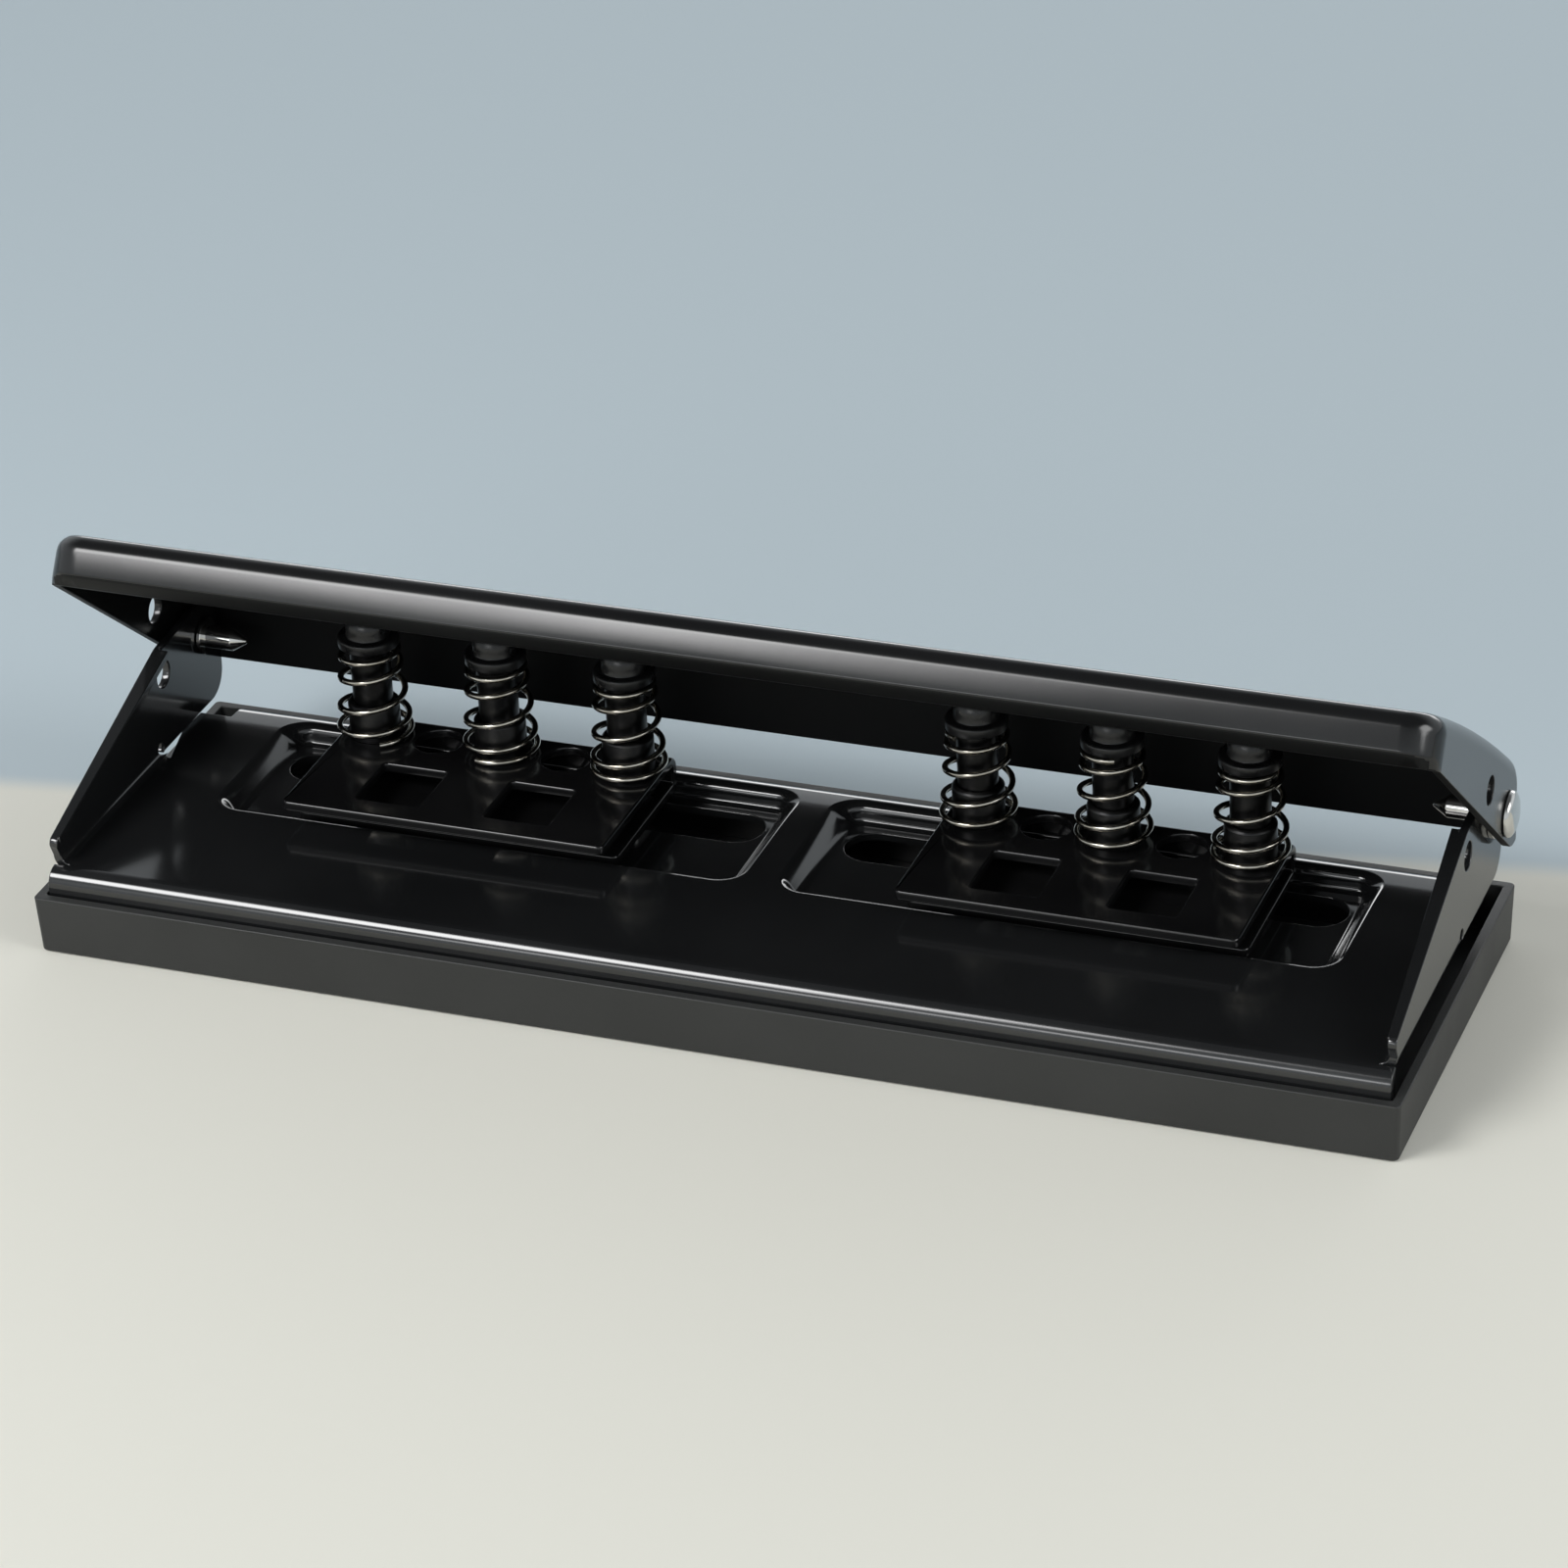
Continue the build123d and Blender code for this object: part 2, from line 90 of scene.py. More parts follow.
def pick(piece, kind, test):
    # Goes into edit mode with the edges or faces selected that pass a test of their place.
    take(piece)
    bpy.ops.object.mode_set(mode="EDIT")
    bpy.ops.mesh.select_mode(type=kind)
    bpy.ops.mesh.select_all(action="DESELECT")
    bpy.ops.object.mode_set(mode="OBJECT")
    mesh = piece.data
    if kind == "EDGE":
        for edge in mesh.edges:
            first, second = (mesh.vertices[i].co / mm for i in edge.vertices)
            edge.select = test(first, second)
    else:
        for face in mesh.polygons:
            face.select = test(face.center / mm, face.normal)
    bpy.ops.object.mode_set(mode="EDIT")


def rounded(piece, test, width, segments):
    # Rounds the edges that pass a test of their two ends.
    pick(piece, "EDGE", test)
    bpy.ops.mesh.bevel(offset=width * mm, segments=segments, affect="EDGES")


def upright(first, second):
    # Whether an edge between two points goes up by more than a millimetre.
    return abs(first.z - second.z) > 1


def soften(piece, width, angle=sharp_angle):
    # Breaks the sharp edges, smooths the curves and keeps the flats flat.
    take(piece)
    bpy.ops.object.modifier_add(type="BEVEL")
    edge = piece.modifiers[-1]
    edge.width = width * mm
    edge.segments = 3
    edge.limit_method = "ANGLE"
    edge.angle_limit = math.radians(angle)
    edge.use_clamp_overlap = False
    bpy.ops.object.modifier_apply(modifier=edge.name)
    bpy.ops.object.shade_smooth_by_angle(angle=math.radians(angle))
    bpy.ops.object.modifier_add(type="WEIGHTED_NORMAL")
    level = piece.modifiers[-1]
    level.keep_sharp = True
    bpy.ops.object.modifier_apply(modifier=level.name)


def new_group(name, inputs, outputs):
    # A shader node group with named inputs and outputs.
    group = bpy.data.node_groups.new(name, "ShaderNodeTree")
    for label, kind in inputs:
        group.interface.new_socket(name=label, in_out="INPUT", socket_type="NodeSocket" + kind)
    for label, kind in outputs:
        group.interface.new_socket(name=label, in_out="OUTPUT", socket_type="NodeSocket" + kind)
    return group, group.nodes.new("NodeGroupInput"), group.nodes.new("NodeGroupOutput")


# A mix node has several sockets of one name, so these go by number: the two inputs and the result
colour_a, colour_b, colour_out = 6, 7, 2
value_a, value_b, value_out = 2, 3, 0

# Colour and gloss that drift a little from patch to patch
patchy_finish, source, sink = new_group(
    "patchy_finish",
    [("Place", "Vector"), ("Patches", "Float"), ("Dark", "Color"), ("Pale", "Color"),
     ("Slick", "Float"), ("Dull", "Float")],
    [("Colour", "Color"), ("Roughness", "Float")])
cloud = patchy_finish.nodes.new("ShaderNodeTexNoise")
cloud.inputs["Detail"].default_value = 5
spread = patchy_finish.nodes.new("ShaderNodeMapRange")
spread.inputs["From Min"].default_value = 0.33
spread.inputs["From Max"].default_value = 0.67
tint = patchy_finish.nodes.new("ShaderNodeMix")
tint.data_type = "RGBA"
gloss = patchy_finish.nodes.new("ShaderNodeMapRange")
join = patchy_finish.links.new
join(source.outputs["Place"], cloud.inputs["Vector"])
join(source.outputs["Patches"], cloud.inputs["Scale"])
join(cloud.outputs["Fac"], spread.inputs["Value"])
join(spread.outputs["Result"], tint.inputs["Factor"])
join(source.outputs["Dark"], tint.inputs[colour_a])
join(source.outputs["Pale"], tint.inputs[colour_b])
join(spread.outputs["Result"], gloss.inputs["Value"])
join(source.outputs["Slick"], gloss.inputs["To Min"])
join(source.outputs["Dull"], gloss.inputs["To Max"])
join(tint.outputs[colour_out], sink.inputs["Colour"])
join(gloss.outputs["Result"], sink.inputs["Roughness"])

# Fine relief: a soft ripple with a sharper grain on it
fine_relief, source, sink = new_group(
    "fine_relief",
    [("Place", "Vector"), ("Ripple", "Float"), ("Grain", "Float"), ("Grain Share", "Float")],
    [("Height", "Float")])
ripple = fine_relief.nodes.new("ShaderNodeTexNoise")
ripple.inputs["Detail"].default_value = 1
grain = fine_relief.nodes.new("ShaderNodeTexNoise")
grain.inputs["Detail"].default_value = 2
blend_in = fine_relief.nodes.new("ShaderNodeMix")
join = fine_relief.links.new
join(source.outputs["Place"], ripple.inputs["Vector"])
join(source.outputs["Ripple"], ripple.inputs["Scale"])
join(source.outputs["Place"], grain.inputs["Vector"])
join(source.outputs["Grain"], grain.inputs["Scale"])
join(source.outputs["Grain Share"], blend_in.inputs["Factor"])
join(ripple.outputs["Fac"], blend_in.inputs[value_a])
join(grain.outputs["Fac"], blend_in.inputs[value_b])
join(blend_in.outputs[value_out], sink.inputs["Height"])


def group_node(tree, group, values):
    # Places a node group in a material, with the material's own values on its inputs.
    node = tree.nodes.new("ShaderNodeGroup")
    node.node_tree = group
    for label, value in values.items():
        node.inputs[label].default_value = value
    return node


def finished_material(name, finish, relief, depth, relief_group=fine_relief, metallic=0.0, specular=0.5):
    # A material whose colour and gloss come from patchy_finish, and its relief from a second group.
    # The relief's depth is in micrometres.
    material = bpy.data.materials.new(name)
    material.use_nodes = True
    tree = material.node_tree
    place = tree.nodes.new("ShaderNodeTexCoord")
    coat = group_node(tree, patchy_finish, finish)
    marks = group_node(tree, relief_group, relief)
    bump = tree.nodes.new("ShaderNodeBump")
    bump.inputs["Strength"].default_value = 1.0
    bump.inputs["Distance"].default_value = depth * 1e-6
    shader = tree.nodes["Principled BSDF"]
    shader.inputs["Metallic"].default_value = metallic
    shader.inputs["Specular IOR Level"].default_value = specular
    join = tree.links.new
    join(place.outputs["Object"], coat.inputs["Place"])
    join(place.outputs["Object"], marks.inputs["Place"])
    join(coat.outputs["Colour"], shader.inputs["Base Color"])
    join(coat.outputs["Roughness"], shader.inputs["Roughness"])
    join(marks.outputs["Height"], bump.inputs["Height"])
    join(bump.outputs["Normal"], shader.inputs["Normal"])
    return material


def wear(piece, *materials):
    # Gives a piece its finish, or more than one, in place of what it has.
    piece.data.materials.clear()
    for material in materials:
        piece.data.materials.append(material)


tray = block("tray_moulding", (-tray_half[0], tray_half[0]), (-tray_half[1], tray_half[1]), (0, tray_height))
pick(tray, "FACE", lambda centre, normal: normal.z > facing)
bpy.ops.mesh.inset(thickness=tray_wall * mm)
bpy.ops.mesh.extrude_region_move(TRANSFORM_OT_translate={"value": (0, 0, -(tray_height - tray_wall) * mm)})
rounded(tray, lambda a, b: upright(a, b) and abs(a.x) > tray_half[0] - near, tray_corner, segments=6)
rounded(tray, lambda a, b: upright(a, b) and abs(a.y) < tray_half[1] - 1, tray_inner_corner, segments=4)
pick(tray, "FACE", lambda centre, normal: normal.z < -facing)
bpy.ops.transform.resize(value=(1 - tray_draft / tray_half[0], 1 - tray_draft / tray_half[1], 1))
soften(tray, tray_edge)
tray_grain = finished_material(
    "tray_grain", {"Patches": 45, "Dark": tray_dark, "Pale": tray_pale, "Slick": 0.46, "Dull": 0.60},
    {"Ripple": 900, "Grain": 3200, "Grain Share": 0.7}, depth=26)
wear(tray, tray_grain)
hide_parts("chip_tray")
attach(tray, "chip_tray")


# Base plate: one pressed steel sheet, black enamelled after its edges are rolled, its two recesses
# drawn with sloping ends and slotted, and its ends turned up into ears. It falls a little towards
# the rear, its sides reach in under the ears, and the tray holds it from below.
hair = 0.01  # a finer measure than near, for points that come from the drawing
pressed_angle = 40
plate_half = 92.0
plate_top = 11.7
plate_edge = 0.15
ear_foot = 12.0
sag_y = (13.2, 25.0)
sag_low = 7.0
sag_rise = 4.7
rear_sag = 0.55
sag_lines = (14.4, 15.6, 16.8, 18.0, 19.2, 20.4, 21.4, 22.3)
slit_front = 7.3
side_edge_low = 10.0
under_ear = 1.8
unit_x = 44.45
recess_x = (3.7, 79.2)
recess_y = (-3.6, 20.9)
recess_depth = 3.0
recess_corner = 2.8
recess_root = 0.8
rim_round = 1.6
rim_low = 11.0
under_rim = -0.95
slope_run = 3.3
enamel_dark = (0.0072, 0.0076, 0.0080, 1)
enamel_pale = (0.0112, 0.0117, 0.0122, 1)
enamel_relief = {"Ripple": 420, "Grain": 1900, "Grain Share": 0.15}
enamel_depth = 3


def pressed_sheet(node, name):
    # The pressing's own form from the drawing, its triangles joined into whole faces.
    piece = bpy.data.objects.new(name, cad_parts[node].data.copy())
    bpy.context.scene.collection.objects.link(piece)
    take(piece)
    bpy.ops.mesh.customdata_custom_splitnormals_clear()
    bpy.ops.object.mode_set(mode="EDIT")
    bpy.ops.mesh.select_all(action="SELECT")
    bpy.ops.mesh.remove_doubles(threshold=2e-6)
    bpy.ops.mesh.dissolve_limited(angle_limit=math.radians(0.05))
    take(piece)
    return piece


def sliced(piece, test, at, across):
    # Draws a line of edges over the faces that pass a test, where a plane through a point meets them.
    pick(piece, "FACE", test)
    bpy.ops.mesh.bisect(plane_co=[distance * mm for distance in at], plane_no=across)
    take(piece)


def end_wall(x, y):
    # How far inside the nearer end of a recess a point lies, how squarely it faces that end,
    # and which way along X is inwards.
    end, inward = (recess_x[0], 1) if abs(x) < unit_x else (recess_x[1], -1)
    inside = inward * (abs(x) - end)
    beyond = max(recess_y[0] + recess_corner - y, y - recess_y[1] + recess_corner)
    if beyond <= 0:
        return inside, 1.0, inward
    across = recess_corner - inside
    reach = math.hypot(across, beyond)
    return recess_corner - reach, max(0.0, across / reach), inward


plate = pressed_sheet("base_plate", "plate_pressing")
for line_y in sag_lines:
    sliced(plate, lambda centre, normal: centre.z < ear_foot, (0, line_y, 0), (0, 1, 0))
for corner in plate.data.vertices:
    x, y, z = corner.co / mm
    depth = plate_top - z
    # The fall towards the rear edge, less and less further down
    if y > sag_y[0] and sag_low < z < plate_top + near and abs(x) < plate_half + near:
        back = (y - sag_y[0]) / (sag_y[1] - sag_y[0])
        corner.co.z -= rear_sag * back ** 2 * (z - sag_low) / sag_rise * mm
    # The slope at each end of a recess, from its rim to its floor, on the upper skin of the sheet
    inside, share, inward = end_wall(x, y)
    on_slope = hair < depth < recess_depth + hair and -rim_round < inside < recess_root + hair
    if on_slope and (inside > under_rim or z > rim_low):
        fall = min(depth / recess_depth, 1.0)
        run = 0.5 - math.sin(math.asin(1 - 2 * fall) / 3)
        shift = (slope_run * run - rim_round - inside) * share ** 2
        corner.co.x += shift * inward * math.copysign(mm, x)
    # The side edges, which go on under the ears
    if y > slit_front and side_edge_low < z < plate_top + near and abs(abs(x) - plate_half) < 2 * hair:
        corner.co.x += math.copysign(under_ear, x) * mm
soften(plate, plate_edge, pressed_angle)
plate_enamel = finished_material(
    "plate_enamel", {"Patches": 30, "Dark": enamel_dark, "Pale": enamel_pale, "Slick": 0.09, "Dull": 0.14},
    enamel_relief, enamel_depth, specular=0.85)
wear(plate, plate_enamel)
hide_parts("base_plate")
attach(plate, "base")


# Slide nuts, clamp screws and die plates: small zinc-plated steel pieces under each bracket.
# The screws pull the nuts up against the slot's edges and so hold a punch unit in its place.
zinc_dark = (0.36, 0.36, 0.37, 1)
zinc_pale = (0.50, 0.50, 0.49, 1)
zinc = finished_material(
    "dull_zinc", {"Patches": 300, "Dark": zinc_dark, "Pale": zinc_pale, "Slick": 0.34, "Dull": 0.50},
    {"Ripple": 1500, "Grain": 5200, "Grain Share": 0.6}, depth=8, metallic=1.0)
for side in ("left", "right"):
    wear(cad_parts[side + "_die_plate"], zinc)
    for number in ("1", "2"):
        wear(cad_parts[side + "_slide_nut_" + number], zinc)
        wear(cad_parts[side + "_clamp_screw_" + number], zinc)


# Brackets: each is one steel strip folded into a flat U and finished satin black, duller on its
# cut front edges. Its upper arm guides the pins, its lower arm lies over the die plate, and paper
# goes in between.
unit_half = 23.75
row_y = 14.5
hole_spacing = 19.05
bracket_y = (-7.6, 20.2)
bracket_sheet = 1.5
bracket_bend = 1.9
bracket_corner = 1.0
bracket_edge = 0.36
bracket_back = 18.0
bracket_front = -2.0
die_arm_y = -2.8
die_arm_z = (10.2, 11.7)
guide_arm_z = (14.3, 15.8)
throat_bend = 0.4
well_clear = 30
setback_z = (5, 12.7)
through_upper = (13, 18)
through_lower = (8, 13)
bush_seat_r = 3.3
pin_hole_r = 3.1
access_hole_r = 3.4
screw_hole_r = 2.85
window_half = 4.7
window_y = (-3.9, 6.5)
window_corner = 0.5
front_facing = -0.97
bracket_dark = (0.0045, 0.0045, 0.0048, 1)
bracket_pale = (0.0078, 0.0078, 0.0081, 1)
bracket_relief = {"Ripple": 700, "Grain": 3600, "Grain Share": 0.4}
bracket_depth = 4


def lying(first, second):
    # Whether an edge between two points lies level.
    return abs(first.z - second.z) < near


def peg(x, y, r, z):
    # A round cutter.
    take(None)
    middle = (x * mm, y * mm, (z[0] + z[1]) / 2 * mm)
    bpy.ops.mesh.primitive_cylinder_add(vertices=64, radius=r * mm, depth=(z[1] - z[0]) * mm, location=middle)
    cutter = bpy.context.object
    settle(cutter)
    return cutter


def cut_away(piece, cutters):
    # Takes the cutters' shapes out of a piece.
    for cutter in cutters:
        take(piece)
        bpy.ops.object.modifier_add(type="BOOLEAN")
        cut = piece.modifiers[-1]
        cut.operation = "DIFFERENCE"
        cut.object = cutter
        bpy.ops.object.modifier_apply(modifier=cut.name)
        bpy.data.objects.remove(cutter)


def copied(piece, name, shift, turn=0.0):
    # A copy with its own mesh, turned about Z and moved, in millimetres.
    take(piece)
    bpy.ops.object.duplicate(linked=False)
    twin = bpy.context.object
    twin.name = name
    twin.rotation_euler = (0, 0, turn)
    twin.location = [distance * mm for distance in shift]
    settle(twin)
    return twin


folded = block("bracket", (-unit_half, unit_half), bracket_y, (die_arm_z[0], guide_arm_z[1]))
rounded(folded, lambda a, b: min(a.y, b.y) > bracket_back and lying(a, b), bracket_bend, segments=8)
throat = block("throat", (-well_clear, well_clear), (-well_clear, bracket_y[1] - bracket_sheet),
               (die_arm_z[1], guide_arm_z[0]))
rounded(throat, lambda a, b: min(a.y, b.y) > bracket_back and lying(a, b), throat_bend, segments=4)
setback = block("setback", (-well_clear, well_clear), (-well_clear, die_arm_y), setback_z)
cut_away(folded, [throat, setback])
rounded(folded, lambda a, b: max(a.y, b.y) < bracket_front and upright(a, b) and abs(a.x) > unit_half - 1,
        bracket_corner, segments=4)
cutters = []
for step in (-1, 0, 1):
    cutters.append(peg(step * hole_spacing, row_y, bush_seat_r, through_upper))
    cutters.append(peg(step * hole_spacing, row_y, pin_hole_r, through_lower))
for step in (-0.5, 0.5):
    x = step * hole_spacing
    cutters.append(peg(x, row_y, access_hole_r, through_upper))
    cutters.append(peg(x, row_y, screw_hole_r, through_lower))
    window = block("window", (x - window_half, x + window_half), window_y, through_upper)
    rounded(window, upright, window_corner, segments=4)
    cutters.append(window)
cut_away(folded, cutters)
soften(folded, bracket_edge)
bracket_satin = finished_material(
    "bracket_satin",
    {"Patches": 60, "Dark": bracket_dark, "Pale": bracket_pale, "Slick": 0.11, "Dull": 0.18},
    bracket_relief, bracket_depth)
sheared_edge = finished_material(
    "sheared_edge",
    {"Patches": 60, "Dark": bracket_dark, "Pale": bracket_pale, "Slick": 0.45, "Dull": 0.60},
    bracket_relief, bracket_depth, specular=0.12)
wear(folded, bracket_satin, sheared_edge)
# The cut front edges of both arms take the second finish
for face in folded.data.polygons:
    if face.normal.y < front_facing and face.center.y < (die_arm_y + near) * mm:
        face.material_index = 1
for side, x in (("left", -unit_x), ("right", unit_x)):
    bracket = copied(folded, side + "_folded_bracket", (x, 0, 0))
    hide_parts(side + "_guide_arm", side + "_die_arm", side + "_bracket_back")
    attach(bracket, side + "_unit")
bpy.data.objects.remove(folded)


# Guide bushes: turned steel sleeves, blackened, pressed into the upper arm of each bracket.
# Their bores guide the pins.
turned_sides = 56
weld = 1e-6  # points closer than this, in metres, become one
oxide_dark = (0.030, 0.030, 0.032, 1)
oxide_pale = (0.055, 0.054, 0.053, 1)
pins = []
for side, x in (("left", -unit_x), ("right", unit_x)):
    for number, step in ((1, -hole_spacing), (2, 0.0), (3, hole_spacing)):
        pins.append((side, number, x + step))
# The sleeve's rings, up its outside from the foot of the bore and back down the bore
sleeve_rings = [
    (2.85, 14.3), (3.2, 14.3), (3.3, 14.4), (3.3, 15.8), (3.52, 15.8), (3.6, 15.88), (3.6, 20.75),
    (3.58, 20.82), (3.16, 21.26), (3.08, 21.297), (2.95, 21.297), (2.85, 21.2), (2.85, 14.3)]


def closed_up(angle):
    # Merges the doubled points of the piece in edit mode, turns its faces outwards and smooths it.
    bpy.ops.mesh.select_all(action="SELECT")
    bpy.ops.mesh.remove_doubles(threshold=weld)
    bpy.ops.mesh.normals_make_consistent(inside=False)
    bpy.ops.object.mode_set(mode="OBJECT")
    bpy.ops.object.shade_smooth_by_angle(angle=math.radians(angle))


def turned(name, rings, joined=False):
    # A round piece drawn out from a circle, ring by ring, each a radius and a height in millimetres.
    # Where the last ring is the first one again, it is joined to it, and otherwise both ends are closed.
    take(None)
    radius, height = rings[0]
    bpy.ops.mesh.primitive_circle_add(vertices=turned_sides, radius=radius * mm, location=(0, 0, height * mm))
    piece = bpy.context.object
    piece.name = name
    settle(piece)
    bpy.ops.object.mode_set(mode="EDIT")
    bpy.ops.mesh.select_mode(type="EDGE")
    bpy.ops.mesh.select_all(action="SELECT")
    if not joined:
        bpy.ops.mesh.edge_face_add()
    for wide, high in rings[1:]:
        bpy.ops.mesh.extrude_edges_move(TRANSFORM_OT_translate={"value": (0, 0, (high - height) * mm)})
        bpy.ops.transform.resize(value=(wide / radius, wide / radius, 1), center_override=(0, 0, high * mm))
        radius, height = wide, high
    if not joined:
        bpy.ops.mesh.edge_face_add()
    closed_up(sharp_angle)
    return piece


# Turning marks: fine rings round an upright axis
turning_marks, source, sink = new_group(
    "turning_marks", [("Place", "Vector"), ("Rings", "Float"), ("Waver", "Float")], [("Height", "Float")])
grooves = turning_marks.nodes.new("ShaderNodeTexWave")
grooves.wave_type = "BANDS"
grooves.bands_direction = "Z"
grooves.inputs["Detail"].default_value = 3
grooves.inputs["Detail Scale"].default_value = 2
join = turning_marks.links.new
join(source.outputs["Place"], grooves.inputs["Vector"])
join(source.outputs["Rings"], grooves.inputs["Scale"])
join(source.outputs["Waver"], grooves.inputs["Distortion"])
join(grooves.outputs["Fac"], sink.inputs["Height"])

black_oxide = finished_material(
    "black_oxide", {"Patches": 350, "Dark": oxide_dark, "Pale": oxide_pale, "Slick": 0.28, "Dull": 0.40},
    {"Rings": 1100, "Waver": 0.6}, depth=5, relief_group=turning_marks, metallic=1.0)
sleeve = turned("sleeve", sleeve_rings, joined=True)
wear(sleeve, black_oxide)
for side, number, x in pins:
    bush = copied(sleeve, f"{side}_bush_{number}", (x, row_y, 0))
    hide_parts(f"{side}_guide_bush_{number}")
    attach(bush, f"{side}_unit")
bpy.data.objects.remove(sleeve)


# Punch pins: hardened round steel, blackened, with a hollow-ground cutting end below
# and the cap driven on above. Each slides in its bush.
shank_rings = [(2.72, 14.5), (2.8, 14.58), (2.8, 29.5), (2.6, 29.7), (2.6, 29.847)]
hollow_r = 4.0
hollow_z = 11.3
hollow_length = 12
shank = turned("shank", shank_rings)
take(None)
bpy.ops.mesh.primitive_cylinder_add(
    vertices=128, radius=hollow_r * mm, depth=hollow_length * mm, location=(0, 0, hollow_z * mm),
    rotation=(math.pi / 2, 0, 0))
hollow = bpy.context.object
settle(hollow)
cut_away(shank, [hollow])
take(shank)
bpy.ops.object.shade_smooth_by_angle(angle=math.radians(sharp_angle))
wear(shank, black_oxide)
for side, number, x in pins:
    pin = copied(shank, f"{side}_pin_{number}_shank", (x, row_y, 0))
    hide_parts(f"{side}_punch_pin_{number}")
    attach(pin, f"{side}_pin_{number}")
bpy.data.objects.remove(shank)


# Return springs: nickel-plated steel wire wound on a slight cone, its end turns closer.
# Each stands on the bracket round a bush and lifts its pin by the cap.
wire_r = 0.45
coil_z = (15.8, 29.847)
coil_r = (5.05, 3.95)
coil_turns = 4.5
coil_tail = 0.03
coil_closing = 0.6
coil_air = 0.08
coil_stagger = math.radians(50)
coil_smooth = 50
stations = 180
wire_dark = (0.34, 0.31, 0.26, 1)
wire_pale = (0.62, 0.59, 0.53, 1)


def coil_point(turns):
    # A point on the middle of the wire; the pitch widens between the two ends.
    share = turns / coil_turns
    low = coil_z[0] + wire_r + coil_air
    rise = coil_z[1] - coil_z[0] - 2 * (wire_r + coil_air)
    z = low + rise * (share - coil_closing * math.sin(2 * math.pi * share) / (2 * math.pi))
    r = coil_r[0] + (coil_r[1] - coil_r[0]) * (z - low) / rise
    angle = 2 * math.pi * turns
    return (r * math.cos(angle), r * math.sin(angle), z)


line = bpy.data.curves.new("coil", "CURVE")
line.dimensions = "3D"
line.bevel_depth = wire_r * mm
line.bevel_resolution = 3
line.use_fill_caps = True
wire = line.splines.new("POLY")
wire.points.add(stations)
for station in range(stations + 1):
    at = coil_point((station / stations) * (coil_turns + 2 * coil_tail) - coil_tail)
    wire.points[station].co = (at[0] * mm, at[1] * mm, at[2] * mm, 1)
coil = bpy.data.objects.new("coil", line)
bpy.context.scene.collection.objects.link(coil)
take(coil)
bpy.ops.object.convert(target="MESH")
coil = bpy.context.object
bpy.ops.object.mode_set(mode="EDIT")
closed_up(coil_smooth)
spring_nickel = finished_material(
    "spring_nickel", {"Patches": 420, "Dark": wire_dark, "Pale": wire_pale, "Slick": 0.07, "Dull": 0.15},
    {"Ripple": 2500, "Grain": 7000, "Grain Share": 0.5}, depth=3, metallic=1.0)
wear(coil, spring_nickel)
for side, number, x in pins:
    turn = math.copysign(coil_stagger, x) * number
    spring = copied(coil, f"{side}_spring_{number}", (x, row_y, 0), turn)
    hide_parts(f"{side}_return_spring_{number}")
    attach(spring, f"{side}_unit")
    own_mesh(spring)
bpy.data.objects.remove(coil)


# Pin caps: round black buttons with a flat collar below. The collar rests on the spring,
# and the underside of the handle rolls along the button as it comes down.
cap_low = 29.847
cap_top = 34.947
dome_r = 2.6
dome_flat = 0.5
dome_steps = 10
cap_dark = (0.006, 0.006, 0.0063, 1)
cap_pale = (0.012, 0.012, 0.0124, 1)
# The collar's and the neck's rings, with their heights above the foot of the cap
cap_rings = [
    (4.15, 0), (4.26, 0.05), (4.3, 0.15), (4.3, 1.1), (4.27, 1.26), (4.18, 1.4), (4.02, 1.48), (3.9, 1.5),
    (3.3, 1.5), (3.16, 1.56), (3.1, 1.7)]
button_rings = [(wide, cap_low + high) for wide, high in cap_rings]
for step in range(dome_steps + 1):
    lean = math.radians(90 / dome_steps * step)
    button_rings.append((dome_flat + dome_r * math.cos(lean), cap_top - dome_r + dome_r * math.sin(lean)))
button = turned("button", button_rings)
cap_gloss = finished_material(
    "cap_gloss", {"Patches": 250, "Dark": cap_dark, "Pale": cap_pale, "Slick": 0.24, "Dull": 0.36},
    {"Ripple": 900, "Grain": 3800, "Grain Share": 0.4}, depth=6)
wear(button, cap_gloss)
for side, number, x in pins:
    cap = copied(button, f"{side}_cap_{number}", (x, row_y, 0))
    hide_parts(f"{side}_pin_cap_{number}")
    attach(cap, f"{side}_pin_{number}")
bpy.data.objects.remove(button)


# Handle: a wide pan pressed from steel sheet and enamelled black, duller inside, with a rounded
# front lip whose lower edge turns in, a rear wall and a pointed flange at each end. It swings on
# the two pivot pins.
pivot_y = 22.4
pivot_z = 22.9
handle_tilt = math.radians(34.5)
handle_half = 96.4
handle_reach = 48.4
handle_edge = 0.16
front_corner = 5.0
lip_top = 4.8
lip_bow = 0.11
curl_top = 2.0
curl_r = 0.8
curl_turn = math.radians(62)
lip_lines = (1.32, 1.39, 1.5, 1.65, 1.82, curl_top, 2.7, 3.4, 4.1)
under_facing = -0.45
lever_dark = (0.0050, 0.0052, 0.0054, 1)
lever_pale = (0.0080, 0.0083, 0.0086, 1)
towards_lip = Vector((0, -math.cos(handle_tilt), math.sin(handle_tilt)))
square_up = (0, math.sin(handle_tilt), math.cos(handle_tilt))


def along_handle(point):
    # How far a point lies towards the lip, and how far above the pivot, square to the handle.
    y = point.y - pivot_y
    z = point.z - pivot_z
    reach = z * math.sin(handle_tilt) - y * math.cos(handle_tilt)
    return reach, y * math.sin(handle_tilt) + z * math.cos(handle_tilt)


def on_lip(point):
    # Whether a point belongs to the lip, below the round of its top.
    reach, above = along_handle(point)
    return reach > handle_reach - front_corner - hair and above < lip_top


